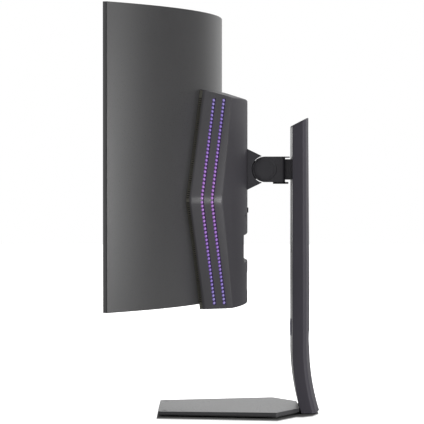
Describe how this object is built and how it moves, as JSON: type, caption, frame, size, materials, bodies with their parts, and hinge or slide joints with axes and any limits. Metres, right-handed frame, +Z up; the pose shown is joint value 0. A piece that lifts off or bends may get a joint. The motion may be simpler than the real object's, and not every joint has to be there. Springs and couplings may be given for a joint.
{
  "type": "curved monitor with rear light bars",
  "caption": "Curved ultrawide monitor on a height, tilt and swivel stand, with V-shaped light bars in the sides of its rear housing.",
  "frame": {"origin": "on the desk, below the middle of the whole object's box", "axes": "+Z up; the screen faces -Y; +X is to the right for a person who stands in front of the screen"},
  "size_m": [0.9926, 0.3374, 0.646],
  "materials": {
    "display": "glossy coated screen",
    "bezel": "fine matt grain",
    "sheet_aluminium": "plain sheet",
    "back_skin": "fine matt grain",
    "housing": "fine matt grain",
    "vent": "matt",
    "bar_face": "satin",
    "lens": "frosted, lit violet",
    "circuit_board": "solder mask",
    "sheet_steel": "plated sheet",
    "brass": "turned",
    "black_plastic": "matt",
    "plated_shell": "plated",
    "label": "blank label",
    "black_steel": "black oxide",
    "bright_steel": "ground",
    "hinge_plastic": "satin black",
    "neck_metal": "satin black",
    "slide_plastic": "low-friction",
    "column_shell": "satin",
    "column_front": "satin",
    "grommet": "violet",
    "base_top": "satin",
    "base_steel": "coated steel",
    "foot_rubber": "matt"
  },
  "bodies": {
    "stand": {"spring_tapes": "bright_steel", "reel_axles": "bright_steel", "guide_rails": "sheet_steel", "column_spine": "sheet_steel", "column_shell": "column_shell", "column_front": "column_front", "column_top_cap": "column_shell", "cable_grommet": "grommet", "foot_bracket": "sheet_steel", "base_cover": "base_top", "base_core": "base_steel", "base_feet": "foot_rubber", "base_screws": "bright_steel", "base_plugs": "black_plastic"},
    "carriage": {"lift_carriage": "neck_metal", "swivel_bush": "brass", "carriage_pads": "slide_plastic"},
    "arm": {"arm_body": "hinge_plastic", "tilt_bushes": "brass", "barrel_caps": "hinge_plastic", "swivel_pin": "bright_steel", "swivel_cap_top": "hinge_plastic", "swivel_cap_bottom": "hinge_plastic"},
    "head": {"display_panel": "display", "bezel_frame": "bezel", "panel_chassis": "sheet_aluminium", "back_cover": "back_skin", "rear_cover": "housing", "vent_strip_right": "vent", "vent_strip_left": "vent", "light_bar_right": "bar_face", "light_bar_left": "bar_face", "led_lenses_right": "lens", "led_lenses_left": "lens", "led_board_right": "circuit_board", "led_board_left": "circuit_board", "chassis_bracket": "sheet_steel", "vesa_plate": "sheet_steel", "vesa_inserts": "brass", "main_board": "circuit_board", "led_driver_board": "circuit_board", "power_board": "circuit_board", "io_bracket": "black_plastic", "video_sockets": "plated_shell", "usb_sockets": "plated_shell", "audio_sockets": "black_plastic", "dc_inlet": "black_plastic", "label_plate": "label", "cover_screws": "black_steel", "joystick_board": "circuit_board", "tilt_bracket": "hinge_plastic", "bracket_screws": "bright_steel", "tilt_shaft": "bright_steel"},
    "reel_right": {"spring_reel_right": "slide_plastic"},
    "reel_left": {"spring_reel_left": "slide_plastic"},
    "release": {"release_button": "housing", "release_latch": "sheet_steel"},
    "joystick_ring": {"joystick_gimbal": "bright_steel"},
    "joystick_lever": {"joystick_stem": "bright_steel"},
    "joystick_button": {"joystick_cap": "black_plastic"}
  },
  "joints": [
    {"name": "lift", "type": "slide", "parent": "stand", "child": "carriage", "axis": [0, 0, 1], "range_m": [-0.12, 0], "deforming": ["spring_tapes"]},
    {"name": "swivel", "type": "hinge", "parent": "carriage", "child": "arm", "pos_m": [0, 0.1049, 0.3989], "axis": [0, 0, 1], "range_deg": [-10, 10]},
    {"name": "tilt", "type": "hinge", "parent": "arm", "child": "head", "pos_m": [0, 0.0787, 0.3989], "axis": [-1, 0, 0], "range_deg": [-10, 15]},
    {"name": "reel_right_spin", "type": "hinge", "parent": "stand", "child": "reel_right", "pos_m": [0.024, 0.1288, 0.452], "axis": [0, 1, 0], "range_deg": [-5, 482.5]},
    {"name": "reel_left_spin", "type": "hinge", "parent": "stand", "child": "reel_left", "pos_m": [-0.024, 0.1288, 0.452], "axis": [0, 1, 0], "range_deg": [-482.5, 5]},
    {"name": "release_press", "type": "slide", "parent": "head", "child": "release", "axis": [0, -1, 0], "range_m": [0, 0.0025], "stiffness_N_per_m": 600, "springref_m": -0.002},
    {"name": "joystick_pitch", "type": "hinge", "parent": "head", "child": "joystick_ring", "pos_m": [0, 0.02, 0.188], "axis": [1, 0, 0], "range_deg": [-8, 8], "stiffness_Nm_per_rad": 0.06},
    {"name": "joystick_roll", "type": "hinge", "parent": "joystick_ring", "child": "joystick_lever", "pos_m": [0, 0.02, 0.188], "axis": [0, 1, 0], "range_deg": [-8, 8], "stiffness_Nm_per_rad": 0.06},
    {"name": "joystick_press", "type": "slide", "parent": "joystick_lever", "child": "joystick_button", "axis": [0, 0, 1], "range_m": [0, 0.001], "stiffness_N_per_m": 800, "springref_m": -0.0008}
  ],
  "couplings": [
    {"joint": "reel_right_spin", "follows": "lift", "rad_per_m": -69.444},
    {"joint": "reel_left_spin", "follows": "lift", "rad_per_m": 69.444}
  ]
}
